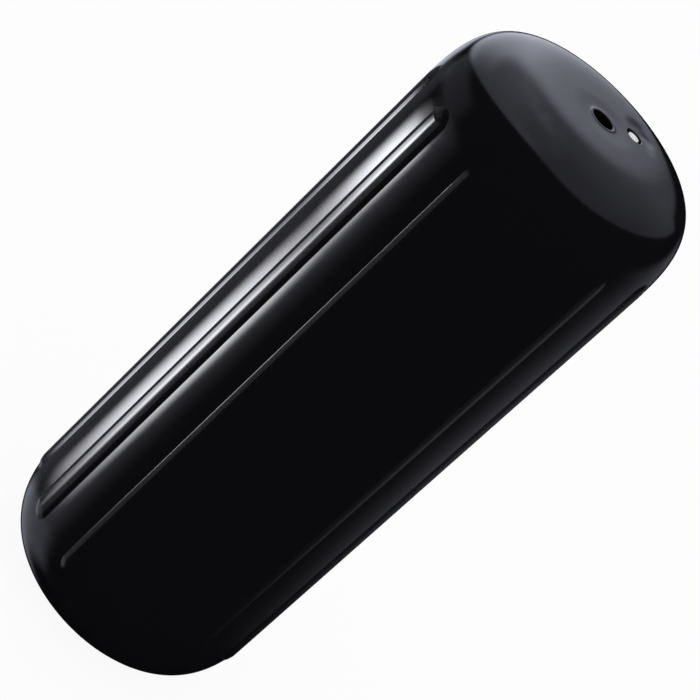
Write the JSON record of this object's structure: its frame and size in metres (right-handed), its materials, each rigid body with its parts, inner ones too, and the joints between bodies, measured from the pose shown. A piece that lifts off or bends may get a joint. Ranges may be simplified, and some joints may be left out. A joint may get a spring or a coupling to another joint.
{
  "type": "pneumatic boat fender",
  "caption": "Black inflatable vinyl boat fender: ribbed cylinder with rounded dished ends, a rope passage along its whole length and a screw valve in one end.",
  "frame": {"origin": "centre of the lower end, in the plane of the flat ring that the fender stands on", "axes": "+Z along the rope tube towards the end with the valve, +X from the rope tube towards the valve, through the crest of a rib"},
  "size_m": [0.267, 0.267, 0.686],
  "materials": {
    "vinyl": "glossy moulded soft vinyl, black",
    "valve_insert": "satin moulded nylon, black",
    "seal": "matt rubber, black",
    "valve_screw": "satin moulded nylon, white"
  },
  "bodies": {
    "root": {"fender_body": "vinyl", "valve_body": "valve_insert", "valve_seal": "seal", "valve_screw": "valve_screw"}
  },
  "joints": []
}
